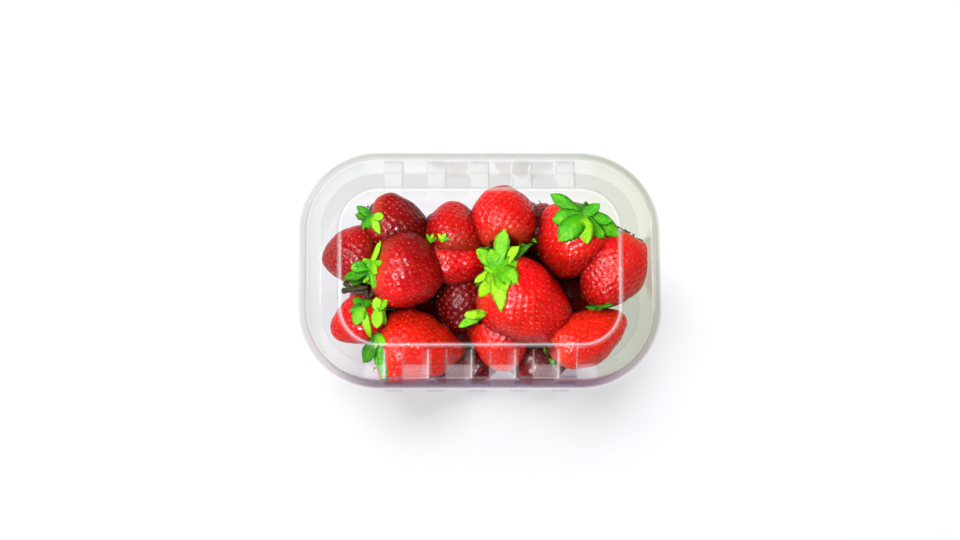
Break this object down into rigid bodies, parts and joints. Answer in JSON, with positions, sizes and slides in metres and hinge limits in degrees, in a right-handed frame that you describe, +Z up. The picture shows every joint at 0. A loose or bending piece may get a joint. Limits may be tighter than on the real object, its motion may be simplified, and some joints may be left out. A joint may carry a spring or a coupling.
{
  "type": "punnet of strawberries",
  "caption": "Clear plastic punnet with a press-on lid that has a raised panel and bulges along its sides, filled with strawberries with green leaves.",
  "frame": {"origin": "middle of the tray's base, on the surface it stands on", "axes": "+X along the long side, +Y from the front long side to the back one, +Z up to the lid"},
  "size_m": [0.143, 0.095, 0.0546],
  "materials": {
    "tray_plastic": "clear, glossy formed sheet with a slight green tint",
    "lid_plastic": "clear, glossy formed sheet",
    "fruit": "ripe strawberry flesh, moist and softly glossy, with yellow-green leaves"
  },
  "bodies": {
    "root": {"tray": "tray_plastic", "lid": "lid_plastic", "strawberries": "fruit"}
  },
  "joints": []
}
